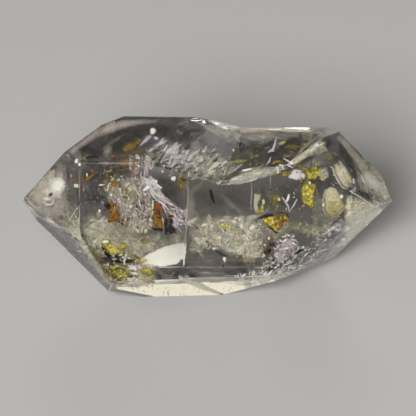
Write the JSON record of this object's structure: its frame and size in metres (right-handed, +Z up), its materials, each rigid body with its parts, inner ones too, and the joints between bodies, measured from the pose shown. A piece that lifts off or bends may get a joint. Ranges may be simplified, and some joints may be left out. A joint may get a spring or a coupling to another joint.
{
  "type": "petroleum quartz crystal",
  "caption": "Clear doubly terminated quartz crystal lying on a flat spot, with petroleum, bitumen and gas sealed inside and a valley across its top.",
  "frame": {"origin": "bottom centre of the crystal's box, in the plane of the flat spot that it rests on", "axes": "+X along the crystal to its right tip, +Y away from the viewer, +Z up"},
  "size_m": [0.02, 0.0082, 0.0099],
  "materials": {
    "quartz": "clear natural crystal faces with fine growth lines and frosted hollows",
    "petroleum": "yellow to amber liquid sealed in flat cavities",
    "bitumen": "dark brown to black tarry specks",
    "gas_bubble": "clear round or drawn-out bubble",
    "healed_crack": "thin silvery veil of tiny cavities"
  },
  "bodies": {
    "root": {"quartz_crystal": "quartz"}
  },
  "joints": []
}
